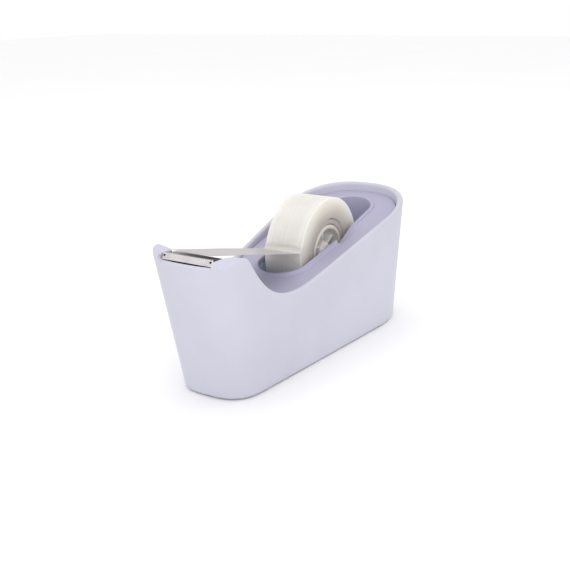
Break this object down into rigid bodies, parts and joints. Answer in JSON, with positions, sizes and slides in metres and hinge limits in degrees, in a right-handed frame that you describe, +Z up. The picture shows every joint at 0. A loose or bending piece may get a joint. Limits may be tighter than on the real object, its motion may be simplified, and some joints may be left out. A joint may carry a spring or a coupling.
{
  "type": "tape dispenser",
  "caption": "Weighted desk dispenser for adhesive tape. A reel turns in a well behind a toothed cutter, and lifts out of inclined grooves for refilling.",
  "frame": {"origin": "middle of the underside, on the surface that the dispenser stands on", "axes": "+X to the rear along the length, cutter at the -X end, +Z up, Y across and symmetric"},
  "size_m": [0.1494, 0.0588, 0.067],
  "materials": {
    "shell_plastic": "satin moulded plastic, pale lavender",
    "deck_plastic": "satin moulded plastic, deeper lavender",
    "cradle_plastic": "satin moulded plastic, slate grey",
    "plate_plastic": "moulded plastic, dark grey",
    "pad_foam": "fine closed-cell foam, near black",
    "cast_weight": "rough casting",
    "screw_steel": "zinc plated",
    "carrier_plastic": "moulded plastic, dark grey",
    "blade_steel": "bright pressed steel",
    "axle_steel": "ground bar",
    "hub_plastic": "cloudy moulded plastic",
    "core_plastic": "moulded plastic, cream",
    "tape_film": "wound matte film, milky white",
    "strip_film": "single layer of matte film, see-through"
  },
  "bodies": {
    "base": {"outer_shell": "shell_plastic", "top_deck": "deck_plastic", "roll_cradle": "cradle_plastic", "base_plate": "plate_plastic", "non_skid_pad": "pad_foam", "ballast_front": "cast_weight", "ballast_left": "cast_weight", "ballast_right": "cast_weight", "base_screw_1": "screw_steel", "base_screw_2": "screw_steel", "base_screw_3": "screw_steel", "base_screw_4": "screw_steel", "cradle_screw_1": "screw_steel", "cradle_screw_2": "screw_steel", "blade_carrier": "carrier_plastic", "cutter_blade": "blade_steel"},
    "carriage": {"axle": "axle_steel"},
    "reel": {"hub_left": "hub_plastic", "hub_right": "hub_plastic", "roll_core": "core_plastic", "tape_roll": "tape_film"},
    "tape_end": {"tape_strip": "strip_film"}
  },
  "joints": [
    {"name": "reel_lift", "type": "slide", "parent": "base", "child": "carriage", "axis": [0.5299, 0, 0.848], "range_m": [0, 0.05]},
    {"name": "reel_spin", "type": "hinge", "parent": "carriage", "child": "reel", "pos_m": [0.0195, 0, 0.0419], "axis": [0, 1, 0], "continuous": true},
    {"name": "tape_pull", "type": "slide", "parent": "carriage", "child": "tape_end", "axis": [-0.9737, 0, 0.2279], "range_m": [0, 0.06]}
  ],
  "couplings": [
    {"joint": "reel_spin", "follows": "tape_pull", "rad_per_m": -39.84}
  ]
}
